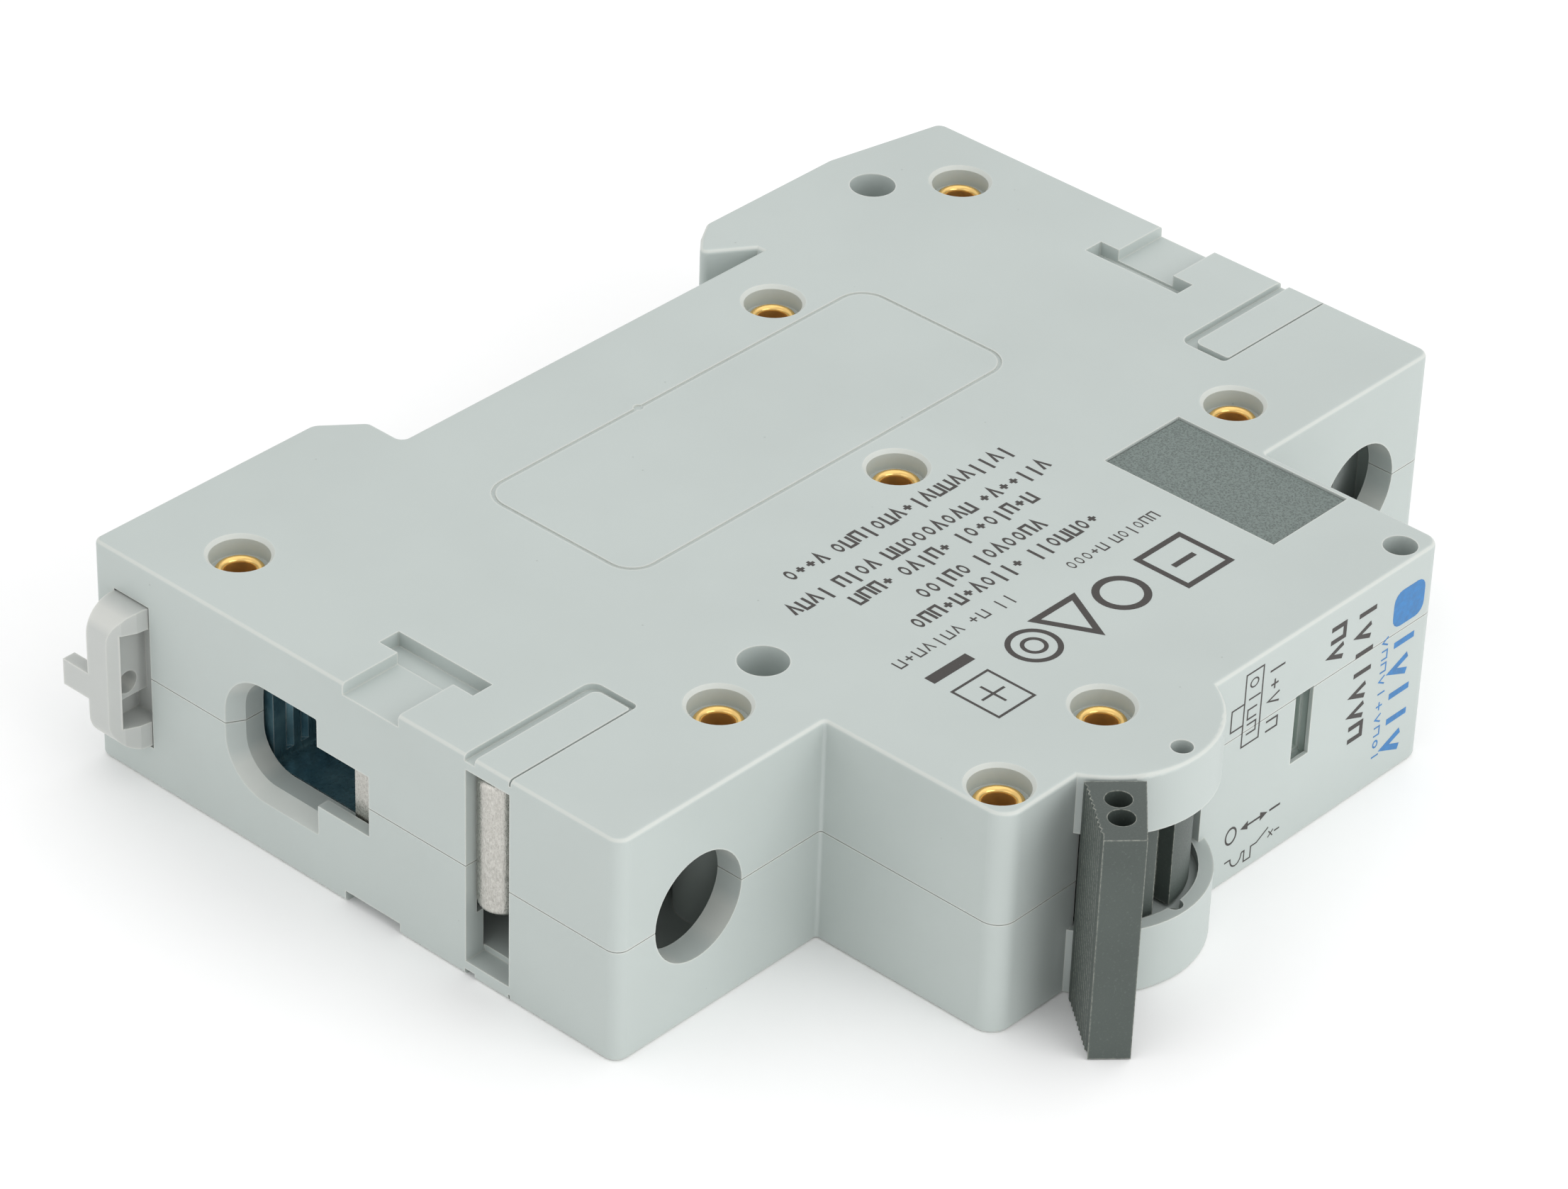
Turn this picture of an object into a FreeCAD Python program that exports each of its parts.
import FreeCAD, Part
import math
import os

# One-module miniature circuit breaker for a 35 mm DIN rail, in millimetres.
# Origin: centre of the rail seat, at half width. +X points from the rail to the toggle,
# +Y to the upper terminal, +Z across the width, out of the cover's side face.
# The toggle is modelled at OFF and both cage clamps fully open.

V = FreeCAD.Vector
AXIS_X = V(1, 0, 0)
AXIS_Y = V(0, 1, 0)
AXIS_Z = V(0, 0, 1)

# Case
width = 17.5
half_width = width / 2
wall = 1.6
cavity_z = half_width - wall
end_y = 41.4
nose_y = 22.5
shoulder_x = 42.9
front_x = 58.2
foot_x = -5.75
hook_x = -5.5
rail_seat_low_y = -18.3
rail_seat_high_y = 18.1
edge_round = 0.35
seam_gap = 0.07
front_seam_z = 3.25
front_seam_x = 48.0

# Rivets that clamp the two shells
rivet_places = [(2.45, -35.7), (5.4, 13.3), (3.5, 35.8), (37.3, 26.0),
                (26.2, 3.2), (36.9, -26.0), (54.4, -8.6), (55.4, -19.9)]
rivet_bore_r = 1.05
rivet_tube_r = 1.3
rivet_rim_r = 1.75
rivet_hole_r = 1.35
rivet_boss_r = 2.7
well_r = 2.1
well_rim = 0.25
well_depth = 1.5

# Locating holes in both side faces: x, y, radius, depth
locating_holes = [(-0.65, 30.7, 1.7, 3.0), (35.6, -20.4, 1.75, 3.0), (56.6, 19.9, 1.2, 3.0)]
locating_wall = 1.1

# Toggle
toggle_x = 54.4
toggle_y = -8.6
toggle_off_angle = -44.4
cheek_r = 8.0
slot_low_z = -3.55
slot_high_z = 4.15
drum_clear = 0.3
drum_r = 6.4
drum_core_r = 5.2
drum_pit_r = 7.0
drum_pit_sink = 0.8
drum_post_r = 2.2
running_gap = 0.05
bar_root = 8.3
bar_tip = 14.6
bar_half_z = 8.65
bar_root_half = 2.0
bar_tip_half = 1.4
tie_hole_r = 0.9
tie_hole_radii = (10.2, 12.2)
tie_hole_depth = 3.0

# Linkage
drum_pin_r = 0.75
drum_pin_orbit = 4.6
drum_pin_angle = 135.0
arm_x = 38.0
arm_y = -2.5
arm_open_angle = 20.0
arm_half_z = 2.0
link_half_z = 0.7
link_end_closed = (37.7, -11.5)
link_slot_half = 1.25
link_slot_reach = (-1.0, 1.45)

# Terminals, given for the lower end and mirrored for the upper one
screw_y = 34.0
cage_y = (30.2, 38.2)
cage_low_x = 7.2
plate_x = (18.1, 19.6)
plate_end_y = -40.3
cage_floor = 0.9
jaw_grooves_y = (-36.75, -35.4, -34.05, -32.7, -31.35)
cage_side_z = (4.3, 5.6)
screw_r = 2.4
screw_head_r = 3.6
screw_head_x = (34.6, 37.3)
access_r = 4.0
access_depth = 2.1
screw_stop_x = (37.6, 38.6)
screw_stop_r = 3.0
saddle_x = (32.0, 33.2)
lug_x = 30.7
lug_y = -39.3
lug_r = 1.7
lug_z = (-3.3, 7.0)
busbar_slot_x = (29.4, 33.3)
busbar_slot_z = 7.6

# Magnetic trip
coil_x = 31.8
coil_y = (9.0, 20.2)
coil_wire_r = 0.75
coil_wind_r = 4.05
coil_turns = 5.5
trip_x = 43.0
trip_y = 3.5

# Rail clip
clip_x = (-3.75, -0.35)
clip_half_z = 5.7
clip_gap = 0.15
clip_tab_y = -44.0
clip_window_y = (-34.0, -22.0)

# Window and flag
window_y = (7.3, 9.2)
window_z = (-2.1, 3.35)
flag_x = 50.3
flag_y = 8.25
flag_r = 5.9

# Side label
label_sink = 0.14


# ---------------------------------------------------------------- shape helpers

def box(x, y, z):
    low = V(min(x), min(y), min(z))
    return Part.makeBox(abs(x[1] - x[0]), abs(y[1] - y[0]), abs(z[1] - z[0]), low)


def post(x, y, radius, z):
    return Part.makeCylinder(radius, z[1] - z[0], V(x, y, z[0]), AXIS_Z)


def rod_x(x, y, z, radius):
    return Part.makeCylinder(radius, x[1] - x[0], V(x[0], y, z), AXIS_X)


def rod_y(x, y, z, radius):
    return Part.makeCylinder(radius, y[1] - y[0], V(x, y[0], z), AXIS_Y)


def polygon_face(points):
    corners = [V(*point) for point in points]
    return Part.Face(Part.makePolygon(corners + corners[:1]))


def prism(points, z):
    flat = [(x, y, z[0]) for x, y in points]
    return polygon_face(flat).extrude(V(0, 0, z[1] - z[0]))


def rounded_outline(corners, z):
    """Closed wire through corners given as x, y, radius."""
    edges = []
    ends = []
    count = len(corners)
    for index, (x, y, radius) in enumerate(corners):
        here = V(x, y, z)
        before = V(*corners[index - 1][:2], z) - here
        after = V(*corners[(index + 1) % count][:2], z) - here
        before.normalize()
        after.normalize()
        if radius == 0:
            ends.append((here, here))
            continue
        half_angle = before.getAngle(after) / 2
        reach = radius / math.tan(half_angle)
        start = here + before * reach
        finish = here + after * reach
        inward = (before + after).normalize()
        middle = here + inward * (radius / math.sin(half_angle) - radius)
        edges.append((index, Part.Arc(start, middle, finish).toShape()))
        ends.append((start, finish))
    arcs = dict(edges)
    outline = []
    for index in range(count):
        if index in arcs:
            outline.append(arcs[index])
        outline.append(Part.makeLine(ends[index][1], ends[(index + 1) % count][0]))
    return Part.Wire(outline)


def rounded_prism(corners, z):
    face = Part.Face(rounded_outline(corners, z[0]))
    return face.extrude(V(0, 0, z[1] - z[0]))


def rounded_box(x, y, z, radius):
    corners = [(x[0], y[0], radius), (x[1], y[0], radius), (x[1], y[1], radius), (x[0], y[1], radius)]
    return rounded_prism(corners, z)


def sector(x, y, radius, angles, z):
    """Wedge of a disc between two angles in degrees."""
    turned = Part.makeCylinder(radius, z[1] - z[0], V(x, y, z[0]), AXIS_Z, angles[1] - angles[0])
    turned.rotate(V(x, y, 0), AXIS_Z, angles[0])
    return turned


def ring(x, y, outer, inner, z):
    return post(x, y, outer, z).cut(post(x, y, inner, z))


def spring(start, axis, length, radius, wire_r, turns):
    """Round-wire coil from start along axis."""
    helix = Part.makeHelix(length / turns, length, radius)
    profile = Part.Wire(Part.makeCircle(wire_r, V(radius, 0, 0), AXIS_Y))
    coil = Part.Wire(helix).makePipeShell([profile], True, True)
    coil.Placement = FreeCAD.Placement(V(*start), FreeCAD.Rotation(AXIS_Z, axis))
    return coil


def fuse(shapes):
    return shapes[0].multiFuse(shapes[1:]).removeSplitter()


def both_sides(shape):
    return [shape, shape.mirror(V(0, 0, 0), AXIS_Z)]


def at_end(shape, end):
    """Shape made for the lower end, or its mirror for the upper end."""
    if end < 0:
        return shape
    return shape.mirror(V(0, 0, 0), AXIS_Y)


def lower(span):
    """Lower-end y span from positive distances."""
    return (-span[1], -span[0])


# ---------------------------------------------------------------- case

def case_block():
    """Outer shape of the closed case, with rounded side edges."""
    corners = [
        (foot_x, -end_y, 0.6),
        (shoulder_x, -end_y, 1.0),
        (shoulder_x, -nose_y, 0.25),
        (front_x, -nose_y, 1.5),
        (front_x, nose_y, 1.2),
        (shoulder_x, nose_y, 0.25),
        (shoulder_x, end_y, 1.0),
        (-3.4, end_y, 0.9),
        (hook_x, 31.3, 1.5),
        (hook_x, 18.0, 0.8),
        (-4.4, 16.2, 0.5),
        (-3.0, 14.6, 0.5),
        (-0.55, rail_seat_high_y, 0.0),
        (0, rail_seat_high_y, 0.0),
        (0, rail_seat_low_y, 0.6),
        (-3.2, rail_seat_low_y, 0.8),
        (foot_x, -21.25, 1.2),
    ]
    block = rounded_prism(corners, (-half_width, half_width))
    rims = [edge for edge in block.Edges if abs(edge.BoundBox.ZMin - edge.BoundBox.ZMax) < 1e-6]
    block = block.makeFillet(edge_round, rims)
    for z in ((-half_width, slot_low_z), (slot_high_z, half_width)):
        block = block.fuse(cheek(z))
    return block.removeSplitter()


def cheek(z):
    """Round lobe beside the toggle drum, with its outer rim rounded."""
    lobe = post(toggle_x, toggle_y, cheek_r, z)
    outer_z = max(z, key=abs)
    rim = [edge for edge in lobe.Edges
           if abs(edge.BoundBox.ZMin - outer_z) < 1e-3 and abs(edge.BoundBox.ZMax - outer_z) < 1e-3]
    return lobe.makeFillet(edge_round, rim)


def cavity():
    """Hollow inside the case, with everything moulded onto the walls left out of it."""
    depth = (-cavity_z, cavity_z)
    body = box((wall, shoulder_x - wall), (-end_y + wall, end_y - wall), depth)
    nose = box((shoulder_x - 2 * wall, front_x - wall), (-nose_y + wall, nose_y - wall), depth)
    hollow = body.fuse(nose)
    keep = [post(x, y, rivet_boss_r, depth) for x, y in rivet_places if (x, y) != (toggle_x, toggle_y)]
    keep.append(post(toggle_x, toggle_y, cheek_r, (slot_high_z, cavity_z)))
    keep.append(post(toggle_x, toggle_y, cheek_r, (-cavity_z, slot_low_z)))
    keep.append(post(flag_x, flag_y, 0.8, depth))
    for x, y, radius, hole_depth in locating_holes:
        floor = half_width - hole_depth - locating_wall
        keep.extend(both_sides(post(x, y, radius + locating_wall, (floor, cavity_z))))
    for y in ((7.6, 8.9), (20.3, 21.5)):
        keep.extend(both_sides(box((29.0, 38.1), y, (4.6, cavity_z))))
    for end in (-1, 1):
        keep.extend(at_end(piece, end) for piece in terminal_walls())
    return hollow.cut(fuse(keep))


def terminal_walls():
    depth = (-cavity_z, cavity_z)
    partition = box((wall, 33.5), (-28.9, -27.9), depth)
    plate_slot = box(plate_x, (-29.0, -27.8), (-3.8, 3.8))
    entry_block = box((5.0, 24.0), (-39.9, -38.6), depth)
    access_ring = rod_x((shoulder_x - access_depth, shoulder_x - wall + 0.1), -screw_y, 0, 5.6)
    stop_y = -screw_y - screw_stop_r
    wall_stop = box(screw_stop_x, (-end_y + wall - 0.1, stop_y), depth)
    side_stop = box(screw_stop_x, (stop_y, -screw_y + screw_stop_r), (screw_stop_r, cavity_z))
    return [partition.cut(plate_slot), entry_block, access_ring, wall_stop, side_stop]


def tapered_hole(outer, inner, outer_y, inner_y):
    """Funnel between two outlines given as x, z corners with radii, through the end wall."""
    wires = []
    for outline, depth in ((outer, outer_y), (inner, inner_y)):
        wire = rounded_outline(outline, 0)
        wire.rotate(V(0, 0, 0), AXIS_X, 90)
        wire.translate(V(0, depth, 0))
        wires.append(wire)
    return Part.makeLoft(wires, True, True)


def cable_entry():
    """Round-ended funnel for the cable, with a square notch beside it, leading into one wide throat."""
    mouth = [(6.9, -4.6, 3.7), (15.7, -4.6, 0.15), (15.7, 4.65, 0.15), (6.9, 4.65, 3.7)]
    neck = [(7.6, -3.95, 2.9), (15.7, -3.95, 0.15), (15.7, 4.0, 0.15), (7.6, 4.0, 2.9)]
    throat = [(7.6, -3.95, 2.9), (20.5, -3.95, 0.2), (20.5, 4.0, 0.2), (7.6, 4.0, 2.9)]
    neck_y = -end_y + 1.2
    lip_y = -end_y + 0.95
    funnel = tapered_hole(mouth, neck, -end_y - 0.01, neck_y)
    notch = box((15.6, 20.5), (-end_y - 1, lip_y + 0.01), (-2.25, 2.5))
    behind_lip = box((15.6, 20.5), (lip_y, neck_y + 0.01), (-3.95, 4.0))
    inner = tapered_hole(throat, throat, neck_y - 0.01, -38.5)
    return funnel.multiFuse([notch, behind_lip, inner])


def end_cuts():
    """Everything cut through the lower end of the case and its shoulder."""
    access = rod_x((shoulder_x - access_depth - 0.1, shoulder_x + 1), -screw_y, 0, access_r)
    slot_depth = (-end_y - 1, -end_y + wall + 0.1)
    busbar = box(busbar_slot_x, slot_depth, (-busbar_slot_z, busbar_slot_z))
    lug_room = box((28.7, 33.4), (-end_y + 1.0, -end_y + wall + 0.1), (-4.2, cavity_z))
    return [cable_entry(), access, busbar, lug_room]


def side_cuts(z_face):
    """Shallow recesses in one side face near the lower end."""
    stem = box((18.2, 23.3), (-end_y - 1, -36.4), (z_face - 0.9, z_face + 1))
    bar = box((16.5, 25.1), (-36.45, -34.7), (z_face - 1.1, z_face + 1))
    groove = rounded_prism([(29.3, -end_y - 1, 0), (33.4, -end_y - 1, 0), (33.4, -29.8, 0.4),
                            (29.3, -29.8, 0.9)], (z_face - 0.5, z_face + 1))
    pad = rounded_prism([(30.2, -end_y - 2, 0), (33.25, -end_y - 2, 0), (33.25, -30.4, 0.2),
                         (30.2, -30.4, 0.6)], (z_face - 0.6, z_face + 2))
    return [stem, bar, groove.cut(pad)]


def panel_groove():
    """Fine line of the rounded panel on the side face."""
    depth = (half_width - 0.12, half_width + 1)
    outer = rounded_box((8.4, 22.9), (-19.4, 19.4), depth, 2.2)
    inner = rounded_box((8.7, 22.6), (-19.1, 19.1), depth, 1.9)
    gate_mark = post(8.5, -3.8, 0.35, depth)
    return outer.cut(inner).fuse(gate_mark)


def rivet_cut(x, y):
    """Through hole with a well at each side face."""
    hole = post(x, y, rivet_hole_r, (-half_width - 1, half_width + 1))
    well = post(x, y, well_r, (half_width - well_depth, half_width + 1))
    rim = Part.makeCone(well_r, well_r + 2 * well_rim, 2 * well_rim, V(x, y, half_width - well_rim), AXIS_Z)
    well = well.fuse(rim)
    return [hole] + both_sides(well)


def front_cuts():
    """Toggle pit, lock notch, window and the label recess."""
    pit = post(toggle_x, toggle_y, drum_pit_r, (slot_low_z - drum_pit_sink, slot_high_z))
    gate = box((56.4, front_x + 1), (-15.0, -2.2), (slot_low_z, slot_high_z))
    centre_post = post(toggle_x, toggle_y, drum_post_r, (slot_low_z - 1, slot_high_z + 1))
    notch = post(toggle_x + drum_pit_r, toggle_y, 0.6, (slot_low_z - 1.5, slot_low_z + 0.1))
    lock_hole = post(61.0, toggle_y, 0.75, (half_width - 2.5, half_width + 1))
    window = box((front_x - wall - 0.1, front_x + 1), window_y, window_z)
    rebate = box((57.2, 57.9), (window_y[0] - 0.25, window_y[1] + 0.25),
                 (window_z[0] - 0.3, window_z[1] + 0.3))
    label = box((35.7, 50.5), (13.9, 21.9), (half_width - 0.35, half_width + 1))
    return [pit.fuse(gate).cut(centre_post), notch, lock_hole, window, rebate, label]


def clip_channel():
    """Channel for the rail clip through the lower foot, with a stub left for its spring."""
    channel = box(clip_x, (-end_y - 1, rail_seat_low_y + 1), (-clip_half_z, clip_half_z))
    stub = box(clip_x, (-33.4, -32.1), (-1.3, 1.3))
    return channel.cut(stub)


def whole_case():
    case = case_block().cut(cavity())
    cuts = front_cuts()
    cuts.append(clip_channel())
    cuts.append(panel_groove())
    for x, y in rivet_places:
        cuts.extend(rivet_cut(x, y))
    for x, y, radius, depth in locating_holes:
        cuts.extend(both_sides(post(x, y, radius, (half_width - depth, half_width + 1))))
    for end in (-1, 1):
        cuts.extend(at_end(piece, end) for piece in end_cuts())
        for piece in side_cuts(half_width):
            cuts.extend(both_sides(at_end(piece, end)))
    for piece in cuts:
        case = case.cut(piece)
    return case


def case_shells():
    """Cover and base, split at half width and higher across the front."""
    case = whole_case()
    far = 80
    half = box((-far, far), (-far, far), (-far, -seam_gap / 2))
    step = box((front_seam_x, far), (toggle_y, far), (-far, front_seam_z - seam_gap / 2))
    half_raised = box((-far, far), (-far, far), (-far, seam_gap / 2))
    step_raised = box((front_seam_x - seam_gap, far), (toggle_y - seam_gap, far),
                      (-far, front_seam_z + seam_gap / 2))
    base = case.common(half.fuse(step))
    cover = case.cut(half_raised.fuse(step_raised))
    return cover, base


def case_rivets():
    """Tubular rivets whose rims are rolled over in the wells."""
    seat = half_width - well_depth
    rivets = []
    for x, y in rivet_places:
        tube = ring(x, y, rivet_tube_r, rivet_bore_r, (-seat, seat))
        rim_mid = (rivet_rim_r + rivet_bore_r) / 2
        rim_tube = (rivet_rim_r - rivet_bore_r) / 2
        rim = Part.makeTorus(rim_mid, rim_tube, V(x, y, seat), AXIS_Z)
        rim = rim.common(post(x, y, rivet_rim_r + 1, (seat, seat + 1)))
        rivets.append(fuse([tube] + both_sides(rim)))
    return Part.makeCompound(rivets)


# ---------------------------------------------------------------- toggle and linkage

def toggle_bar():
    """Tapered bar as wide as the case; one flank carries fine grip ribs."""
    flank = []
    rib_pitch = 0.5
    rib_depth = 0.16
    rib_count = 11
    slope = (bar_root_half - bar_tip_half) / (bar_tip - bar_root)
    first = bar_root + 0.3
    for index in range(rib_count):
        radius = first + index * rib_pitch
        for step, sink in ((0, 0), (0.5, rib_depth)):
            reach = radius + step * rib_pitch
            half = bar_root_half - (reach - bar_root) * slope
            flank.append((reach, -half + sink))
    points = [(bar_root, -bar_root_half)] + flank
    points += [(bar_tip, -bar_tip_half), (bar_tip, bar_tip_half), (bar_root, bar_root_half)]
    bar = prism(points, (-bar_half_z, bar_half_z))
    for radius in tie_hole_radii:
        hole = post(radius, 0, tie_hole_r, (bar_half_z - tie_hole_depth, bar_half_z + 1))
        for side in both_sides(hole):
            bar = bar.cut(side)
    return bar


def toggle():
    """Bar, stem and drum in one moulding, turned to OFF."""
    low = slot_low_z + drum_clear
    high = slot_high_z - drum_clear
    drum = post(0, 0, drum_r, (low - drum_pit_sink, high))
    for angles in ((32.4, 46.0), (-46.0, -32.4)):
        recess = sector(0, 0, drum_r + 1, angles, (low - 2, high + 1))
        recess = recess.cut(post(0, 0, drum_core_r, (low - 3, high + 2)))
        drum = drum.cut(recess)
    stem = box((4.0, bar_root + 0.5), (-1.8, 1.8), (low, high))
    body = fuse([drum, stem, toggle_bar()])
    link_angles = (100.0 - toggle_off_angle, 190.0 - toggle_off_angle)
    hub = post(0, 0, 3.0, (-2, 2))
    body = body.cut(sector(0, 0, drum_r + 1, link_angles, (-0.95, 0.95)).cut(hub))
    body = body.cut(post(0, 0, drum_post_r + running_gap, (-9, 9)))
    body = body.cut(ring(0, 0, 3.75, 2.9, (low - 2, -1.3)))
    pin_angle = math.radians(drum_pin_angle - toggle_off_angle)
    body = body.cut(post(drum_pin_orbit * math.cos(pin_angle), drum_pin_orbit * math.sin(pin_angle),
                         drum_pin_r, (low - 2, high + 1)))
    body.rotate(V(0, 0, 0), AXIS_Z, toggle_off_angle)
    body.translate(V(toggle_x, toggle_y, 0))
    return body


def drum_pin_place():
    angle = math.radians(drum_pin_angle)
    return toggle_x + drum_pin_orbit * math.cos(angle), toggle_y + drum_pin_orbit * math.sin(angle)


def drum_pin():
    x, y = drum_pin_place()
    return post(x, y, drum_pin_r, (slot_low_z + drum_clear, slot_high_z - drum_clear))


def link_end_open():
    """Centre of the contact arm's link pin with the contacts open."""
    turn = math.radians(arm_open_angle)
    dx = link_end_closed[0] - arm_x
    dy = link_end_closed[1] - arm_y
    return (arm_x + dx * math.cos(turn) - dy * math.sin(turn),
            arm_y + dx * math.sin(turn) + dy * math.cos(turn))


def long_hole(start, finish, half, z):
    """Round-ended bar along X."""
    ends = [post(start, 0, half, z), post(finish, 0, half, z)]
    return fuse([box((start, finish), (-half, half), z)] + ends)


def link_rod():
    """Flat link with an eye on the drum pin and a long slot on the contact arm's pin."""
    x, y = drum_pin_place()
    end_x, end_y_open = link_end_open()
    length = math.hypot(end_x - x, end_y_open - y)
    angle = math.degrees(math.atan2(end_y_open - y, end_x - x))
    z = (-link_half_z, link_half_z)
    slot_start = length + link_slot_reach[0]
    slot_end = length + link_slot_reach[1]
    foot_half = link_slot_half + 0.75
    strap = box((0, slot_end), (-0.95, 0.95), z)
    foot = long_hole(slot_start, slot_end, foot_half, z)
    shape = fuse([post(0, 0, 1.5, z), strap, foot])
    shape = shape.cut(post(0, 0, drum_pin_r + running_gap, (-2, 2)))
    shape = shape.cut(long_hole(slot_start, slot_end, link_slot_half, (-2, 2)))
    shape.rotate(V(0, 0, 0), AXIS_Z, angle)
    shape.translate(V(x, y, 0))
    return shape


def opened(shape):
    """Turn a piece of the contact arm from closed to open."""
    shape.rotate(V(arm_x, arm_y, 0), AXIS_Z, arm_open_angle)
    return shape


def contact_arm():
    z = (-arm_half_z, arm_half_z)
    finger = box((19.3, arm_x), (-3.5, -1.9), z)
    hub = post(arm_x, arm_y, 2.4, z)
    end_x, end_y_closed = link_end_closed
    leg = box((end_x - 1.3, end_x + 1.3), (end_y_closed, arm_y), z)
    arm = fuse([finger, hub, leg, post(end_x, end_y_closed, 1.3, z)])
    arm = arm.cut(post(arm_x, arm_y, 1.0 + running_gap, (-9, 9)))
    arm = arm.cut(box((end_x - 4, end_x + 4), (end_y_closed - 4, end_y_closed + 4.5), (-1.0, 1.0)))
    arm = arm.cut(post(end_x, end_y_closed, 0.7, (-9, 9)))
    return opened(arm)


def arm_link_pin():
    return opened(post(link_end_closed[0], link_end_closed[1], 0.7, (-arm_half_z, arm_half_z)))


def moving_contact():
    return opened(rod_y(20.9, (-1.9, -1.0), 0, 1.5))


def contact_arm_pin():
    return post(arm_x, arm_y, 1.0, (-cavity_z, cavity_z))


# ---------------------------------------------------------------- contacts and arc chute

def fixed_contact_bar():
    foot = box((17.0, 22.4), (-0.1, 0.9), (-3, 3))
    riser = box((21.2, 22.4), (-0.1, 12.0), (-3, 5))
    horn = box((15.9, 17.0), (-0.1, 6.6), (-3, 3))
    return fuse([foot, riser, horn])


def fixed_contact():
    return rod_y(20.9, (-0.9, -0.1), 0, 1.7)


def arc_plates():
    """Steel splitter plates, each with a V mouth towards the contacts."""
    plates = []
    for index in range(10):
        y = -11.8 + index * 1.8
        outline = [(4.2, -6.1), (15.4, -6.1), (15.4, -3.2), (10.0, 0), (15.4, 3.2), (15.4, 6.1), (4.2, 6.1)]
        face = polygon_face([(x, y, z) for x, z in outline])
        plates.append(face.extrude(V(0, 0.8, 0)))
    return Part.makeCompound(plates)


def arc_chute_boards():
    board = box((3.6, 15.8), (-12.6, 6.2), (6.1, cavity_z))
    return Part.makeCompound(both_sides(board))


def arc_runner():
    flat = box((4.0, 29.0), (-15.2, -14.2), (-4, 4))
    leg = box((27.9, 29.0), (-20.1, -14.2), (-4, 4))
    return flat.fuse(leg).removeSplitter()


# ---------------------------------------------------------------- magnetic trip

def coil_bobbin():
    tube = rod_y(coil_x, coil_y, 0, 3.1)
    flanges = [rod_y(coil_x, (coil_y[0], coil_y[0] + 0.8), 0, 4.9),
               rod_y(coil_x, (coil_y[1] - 0.8, coil_y[1]), 0, 4.9)]
    return fuse([tube] + flanges).cut(rod_y(coil_x, (0, 40), 0, 2.6))


def coil_winding():
    """Copper winding with straight leads to the fixed contact and the upper terminal."""
    first_y = coil_y[0] + 1.7
    last_y = coil_y[1] - 1.7
    winding = spring((coil_x, first_y, 0), AXIS_Y, last_y - first_y, coil_wind_r, coil_wire_r, coil_turns)
    winding.rotate(V(coil_x, 0, 0), AXIS_Y, -90)
    low_lead = rod_x((22.4, coil_x), first_y, coil_wind_r, coil_wire_r)
    high_lead = rod_x((plate_x[1], coil_x), last_y, -coil_wind_r, coil_wire_r)
    return winding.multiFuse([low_lead, high_lead])


def coil_yoke():
    low = box((coil_x - 5.5, 38.1), (7.6, 8.9), (-4.6, 4.6)).cut(rod_y(coil_x, (5, 10), 0, 1.1))
    high = box((coil_x - 5.5, 38.1), (20.3, 21.5), (-4.6, 4.6)).cut(rod_y(coil_x, (19, 23), 0, 2.6))
    back = box((36.9, 38.1), (7.6, 21.5), (-4.6, 4.6))
    return fuse([low, high, back])


def plunger():
    return fuse([rod_y(coil_x, (12.0, 21.8), 0, 2.3), rod_y(coil_x, (4.05, 12.5), 0, 0.8)])


def trip_lever():
    """Lever with one arm under the plunger and one reaching to the bimetal."""
    hub = post(trip_x, trip_y, 2.0, (-1.5, 3.9))
    striker = box((30.4, trip_x), (2.2, 3.75), (-1.5, 1.5))
    drop = box((42.2, 44.6), (-12.4, trip_y), (2.3, 3.9))
    foot = box((33.2, 44.6), (-12.4, -10.4), (2.3, 3.9))
    lever = fuse([hub, striker, drop, foot])
    return lever.cut(post(trip_x, trip_y, 0.8 + running_gap, (-9, 9)))


def trip_lever_pin():
    return post(trip_x, trip_y, 0.8, (-cavity_z, cavity_z))


# ---------------------------------------------------------------- thermal trip

def bimetal_strip():
    return box((30.5, 31.4), (-26.0, -10.6), (-3.0, 4.2))


def bimetal_bracket():
    upright = box((29.0, 30.5), (-26.5, -19.5), (-3.5, 3.5)).cut(rod_x((28, 31), -21.5, 0, 1.25))
    foot = box((plate_x[1], 30.5), (-26.5, -25.3), (-3.5, 3.5))
    return upright.fuse(foot).removeSplitter()


def calibration_screw():
    shank = rod_x((25.0, 30.4), -21.5, 0, 1.2)
    head = rod_x((24.0, 25.4), -21.5, 0, 2.0)
    slot = box((23.9, 24.6), (-24.0, -19.0), (-0.3, 0.3))
    return shank.fuse(head).cut(slot)


def contact_braid():
    """Flexible lead from the bimetal to the contact arm."""
    z = -arm_half_z - 0.85
    start = V(32.25, -19.0, z)
    bend = V(32.25, -12.0, z)
    turn = V(34.6, -8.0, z)
    finish = V(34.6, -4.6, z)
    middle = V(33.1, -9.9, z)
    path = Part.Wire([Part.makeLine(start, bend), Part.Arc(bend, middle, turn).toShape(),
                      Part.makeLine(turn, finish)])
    profile = Part.Wire(Part.makeCircle(0.8, start, AXIS_Y))
    return path.makePipeShell([profile], True, True)


# ---------------------------------------------------------------- terminals

def terminal_plate(end):
    reach = -24.0 if end < 0 else -18.0
    return at_end(box(plate_x, (plate_end_y, reach), (-3.6, 3.6)), end)


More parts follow.
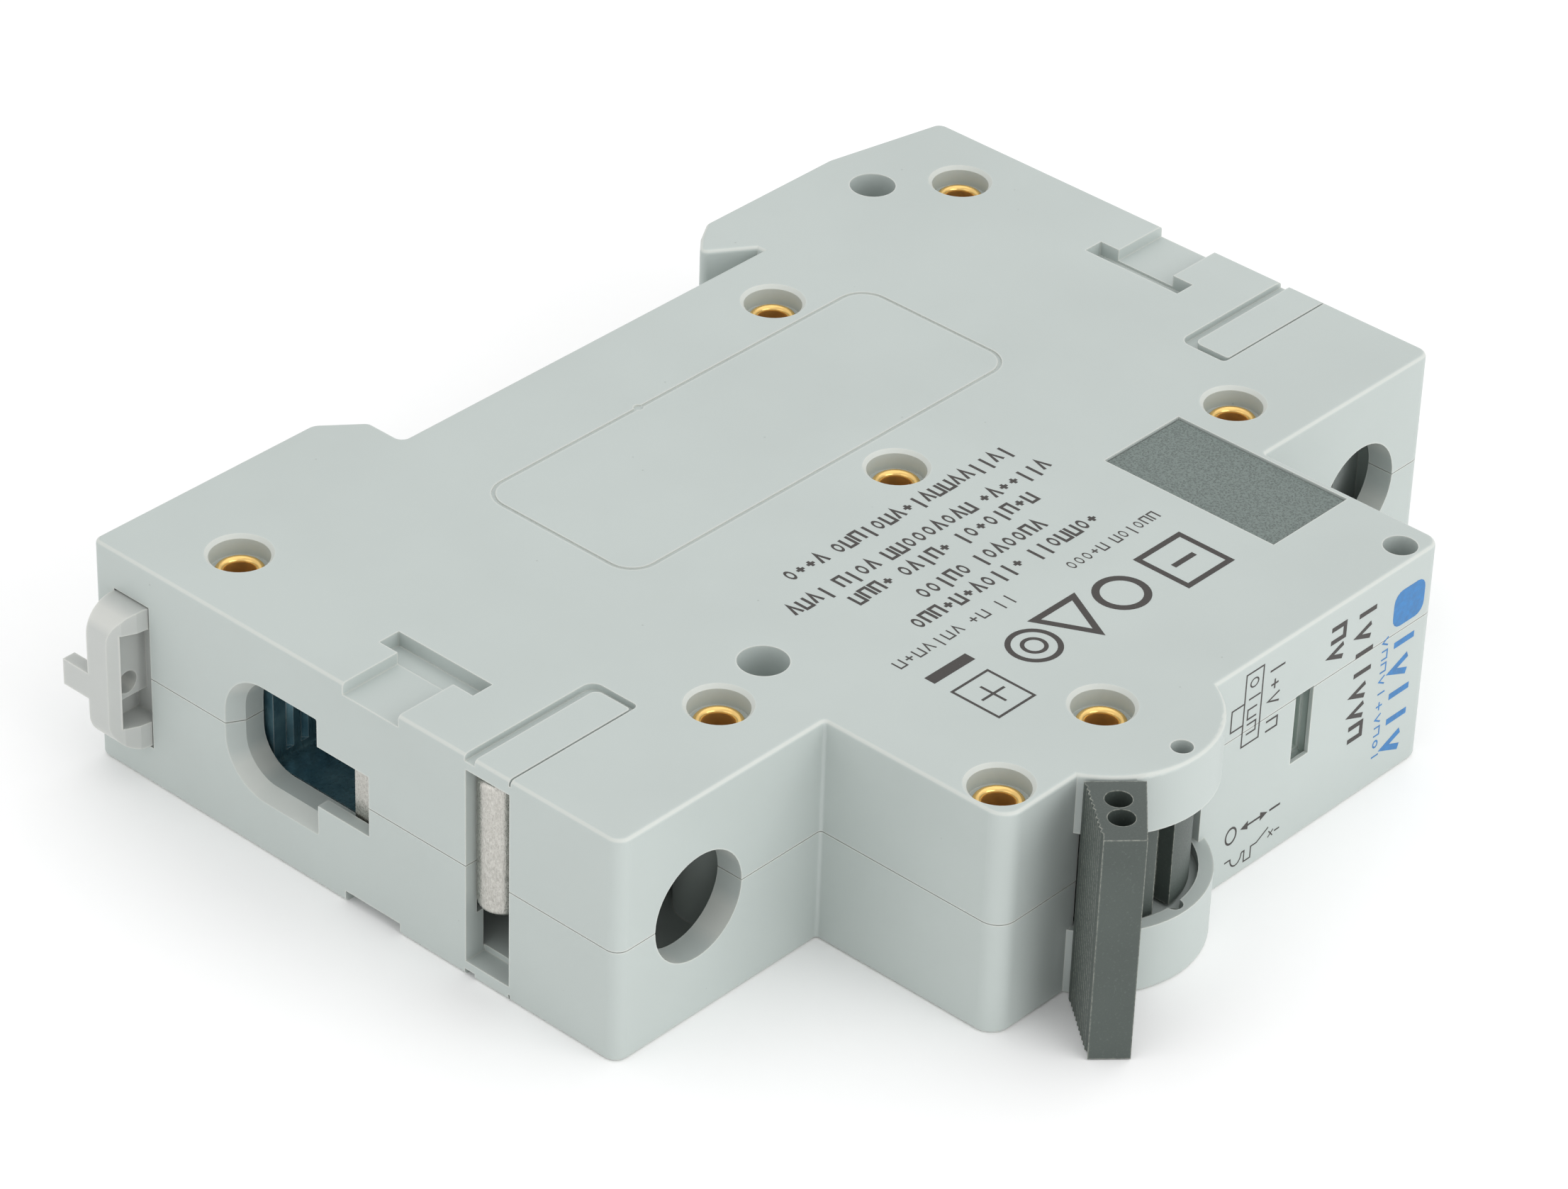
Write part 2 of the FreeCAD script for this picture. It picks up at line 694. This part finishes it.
def terminal_cage(end):
    """Steel box clamp: grooved floor, two sides and a threaded roof with a drawn neck."""
    y = lower(cage_y)
    outer_z = (-cage_side_z[1], cage_side_z[1])
    frame = rounded_box((cage_low_x, 23.4), outer_z, (0, y[1] - y[0]), 0.9)
    hole = rounded_box((cage_low_x + cage_floor, 21.2), (-cage_side_z[0], cage_side_z[0]), (-1, 20), 0.3)
    frame = frame.cut(hole)
    frame.rotate(V(0, 0, 0), AXIS_X, 90)
    frame.translate(V(0, y[1], 0))
    neck = rod_x((23.0, 25.0), -screw_y, 0, 3.4)
    thread = rod_x((20.0, 26.0), -screw_y, 0, screw_r + running_gap)
    frame = frame.fuse(neck).cut(thread)
    for groove_y in jaw_grooves_y:
        groove = box((-0.25, 0.25), (-0.25, 0.25), (-3.7, 3.7))
        groove.rotate(V(0, 0, 0), AXIS_Z, 45)
        groove.translate(V(cage_low_x + cage_floor, groove_y, 0))
        frame = frame.cut(groove)
    return at_end(frame, end)


def terminal_screw(end):
    """Cheese-head clamp screw with a combined slot and cross recess."""
    shank = rod_x((plate_x[1] + 0.15, screw_head_x[0] + 0.2), -screw_y, 0, screw_r)
    head = rod_x(screw_head_x, -screw_y, 0, screw_head_r)
    rim = [edge for edge in head.Edges if abs(edge.BoundBox.XMin - screw_head_x[1]) < 1e-6]
    head = head.makeFillet(0.4, rim)
    top = (screw_head_x[1] - 1.2, screw_head_x[1] + 1)
    slot = box(top, (-screw_y - 4, -screw_y + 4), (-0.5, 0.5))
    cross = box(top, (-screw_y - 0.55, -screw_y + 0.55), (-2.2, 2.2))
    return at_end(shank.fuse(head).cut(slot).cut(cross), end)


def busbar_saddle(end):
    """Plate under the screw head whose rounded lug fills the busbar slot."""
    plate = box(saddle_x, (-39.7, -29.5), (-3.9, 5.6))
    plate = plate.cut(rod_x((31, 35), -screw_y, 0, 2.7))
    lug = post(lug_x, lug_y, lug_r, lug_z)
    ends = [edge for edge in lug.Edges if abs(edge.BoundBox.ZMin - edge.BoundBox.ZMax) < 1e-6]
    lug = lug.makeFillet(0.5, ends)
    lug = lug.cut(box((28, 34), (lug_y, -36), (-9, 9)))
    return at_end(plate.fuse(lug).removeSplitter(), end)


# ---------------------------------------------------------------- flag, window, label

def position_flag():
    """Two-colour sector that swings behind the window."""
    z = (-2.6, 3.6)
    rim = ring(0, 0, flag_r, flag_r - 0.7, z)
    rim = rim.common(sector(0, 0, flag_r + 1, (-60.0, 20.0), z))
    hub = post(0, 0, 1.6, z)
    web = box((0, flag_r - 0.3), (-0.8, 0.8), (-0.5, 1.5))
    web.rotate(V(0, 0, 0), AXIS_Z, -20)
    flag = fuse([rim, hub, web]).cut(post(0, 0, 0.8 + running_gap, (-9, 9)))
    flag.translate(V(flag_x, flag_y, 0))
    return flag


def window_lens():
    return box((57.25, 57.85), (window_y[0] - 0.2, window_y[1] + 0.2),
               (window_z[0] - 0.25, window_z[1] + 0.25))


def side_label():
    plate = box((35.75, 50.45), (13.95, 21.85), (half_width - 0.35, half_width - label_sink))
    rims = [edge for edge in plate.Edges if edge.BoundBox.ZMin > half_width - label_sink - 0.01]
    return plate.makeChamfer(0.12, rims)


# ---------------------------------------------------------------- rail clip

def din_clip():
    """Sliding clip: jaw under the rail's lip, spring window, and a pull tab outside."""
    x = (clip_x[0] + clip_gap, clip_x[1] - clip_gap)
    half_z = clip_half_z - clip_gap
    strip = box(x, (-41.4, -20.0), (-half_z, half_z))
    jaw_outline = [(x[0], -20.5), (-1.25, -20.5), (-1.25, -16.3), (-1.7, -16.3), (x[0], -18.6)]
    jaw = prism(jaw_outline, (-half_z, half_z))
    profile = [(clip_x[0], clip_tab_y), (-1.8, clip_tab_y), (-1.1, -43.2), (-0.65, -42.2), (x[1], -41.2),
               (clip_x[0], -41.2)]
    tab = prism(profile, (-half_z, half_z))
    outline = rounded_box((-half_z, half_z), (clip_tab_y, -36.0), (-10, 10), 2.3)
    outline.rotate(V(0, 0, 0), AXIS_Y, 90)
    tab = tab.common(outline).cut(box((-9, x[0]), (-41.39, -40), (-9, 9)))
    nub = box((-6.25, clip_x[0] + 0.3), (clip_tab_y, -41.55), (-2.0, 0.05))
    clip = fuse([strip, jaw, tab, nub])
    pocket = box((-1.75, 0), (-43.3, -40.6), (-3.6, 3.9))
    blade_slot = box((-2.6, 0), (-42.9, -40.6), (-3.6, -1.7))
    eye = rod_x((-9, 1), -42.3, -0.5, 0.85)
    window = box((-9, 1), clip_window_y, (-1.7, 1.7))
    return clip.cut(pocket).cut(blade_slot).cut(eye).cut(window)


def all_parts():
    parts = {}
    parts["case_cover"], parts["case_base"] = case_shells()
    parts["case_rivets"] = case_rivets()
    parts["toggle"] = toggle()
    parts["drum_pin"] = drum_pin()
    parts["link_rod"] = link_rod()
    parts["contact_arm"] = contact_arm()
    parts["arm_link_pin"] = arm_link_pin()
    parts["moving_contact"] = moving_contact()
    parts["contact_arm_pin"] = contact_arm_pin()
    parts["fixed_contact_bar"] = fixed_contact_bar()
    parts["fixed_contact"] = fixed_contact()
    parts["arc_plates"] = arc_plates()
    parts["arc_chute_boards"] = arc_chute_boards()
    parts["arc_runner"] = arc_runner()
    parts["coil_bobbin"] = coil_bobbin()
    parts["coil_winding"] = coil_winding()
    parts["coil_yoke"] = coil_yoke()
    parts["plunger"] = plunger()
    parts["trip_lever"] = trip_lever()
    parts["trip_lever_pin"] = trip_lever_pin()
    parts["bimetal_strip"] = bimetal_strip()
    parts["bimetal_bracket"] = bimetal_bracket()
    parts["calibration_screw"] = calibration_screw()
    parts["contact_braid"] = contact_braid()
    for name, end in (("bottom", -1), ("top", 1)):
        parts["terminal_plate_" + name] = terminal_plate(end)
        parts["terminal_cage_" + name] = terminal_cage(end)
        parts["terminal_screw_" + name] = terminal_screw(end)
        parts["busbar_saddle_" + name] = busbar_saddle(end)
    parts["position_flag"] = position_flag()
    parts["window_lens"] = window_lens()
    parts["side_label"] = side_label()
    parts["din_clip"] = din_clip()
    parts["toggle_spring"] = spring((toggle_x, toggle_y, -3.0), AXIS_Z, 1.4, 3.3, 0.2, 2)
    parts["contact_spring"] = spring((arm_x, arm_y, 2.5), AXIS_Z, 3.2, 1.6, 0.25, 5)
    parts["trip_lever_spring"] = spring((trip_x, trip_y, 4.2), AXIS_Z, 2.4, 1.35, 0.22, 4)
    parts["plunger_spring"] = spring((coil_x, 9.2, 0), AXIS_Y, 2.4, 1.5, 0.22, 3)
    parts["din_clip_spring"] = spring((-2.05, -31.8, 0), AXIS_Y, 9.5, 1.15, 0.25, 7)
    return parts


os.makedirs("parts", exist_ok=True)
for name, shape in all_parts().items():
    print(name, shape.isValid(), len(shape.Solids), round(shape.Volume, 1))
    shape.exportStep("parts/" + name + ".step")
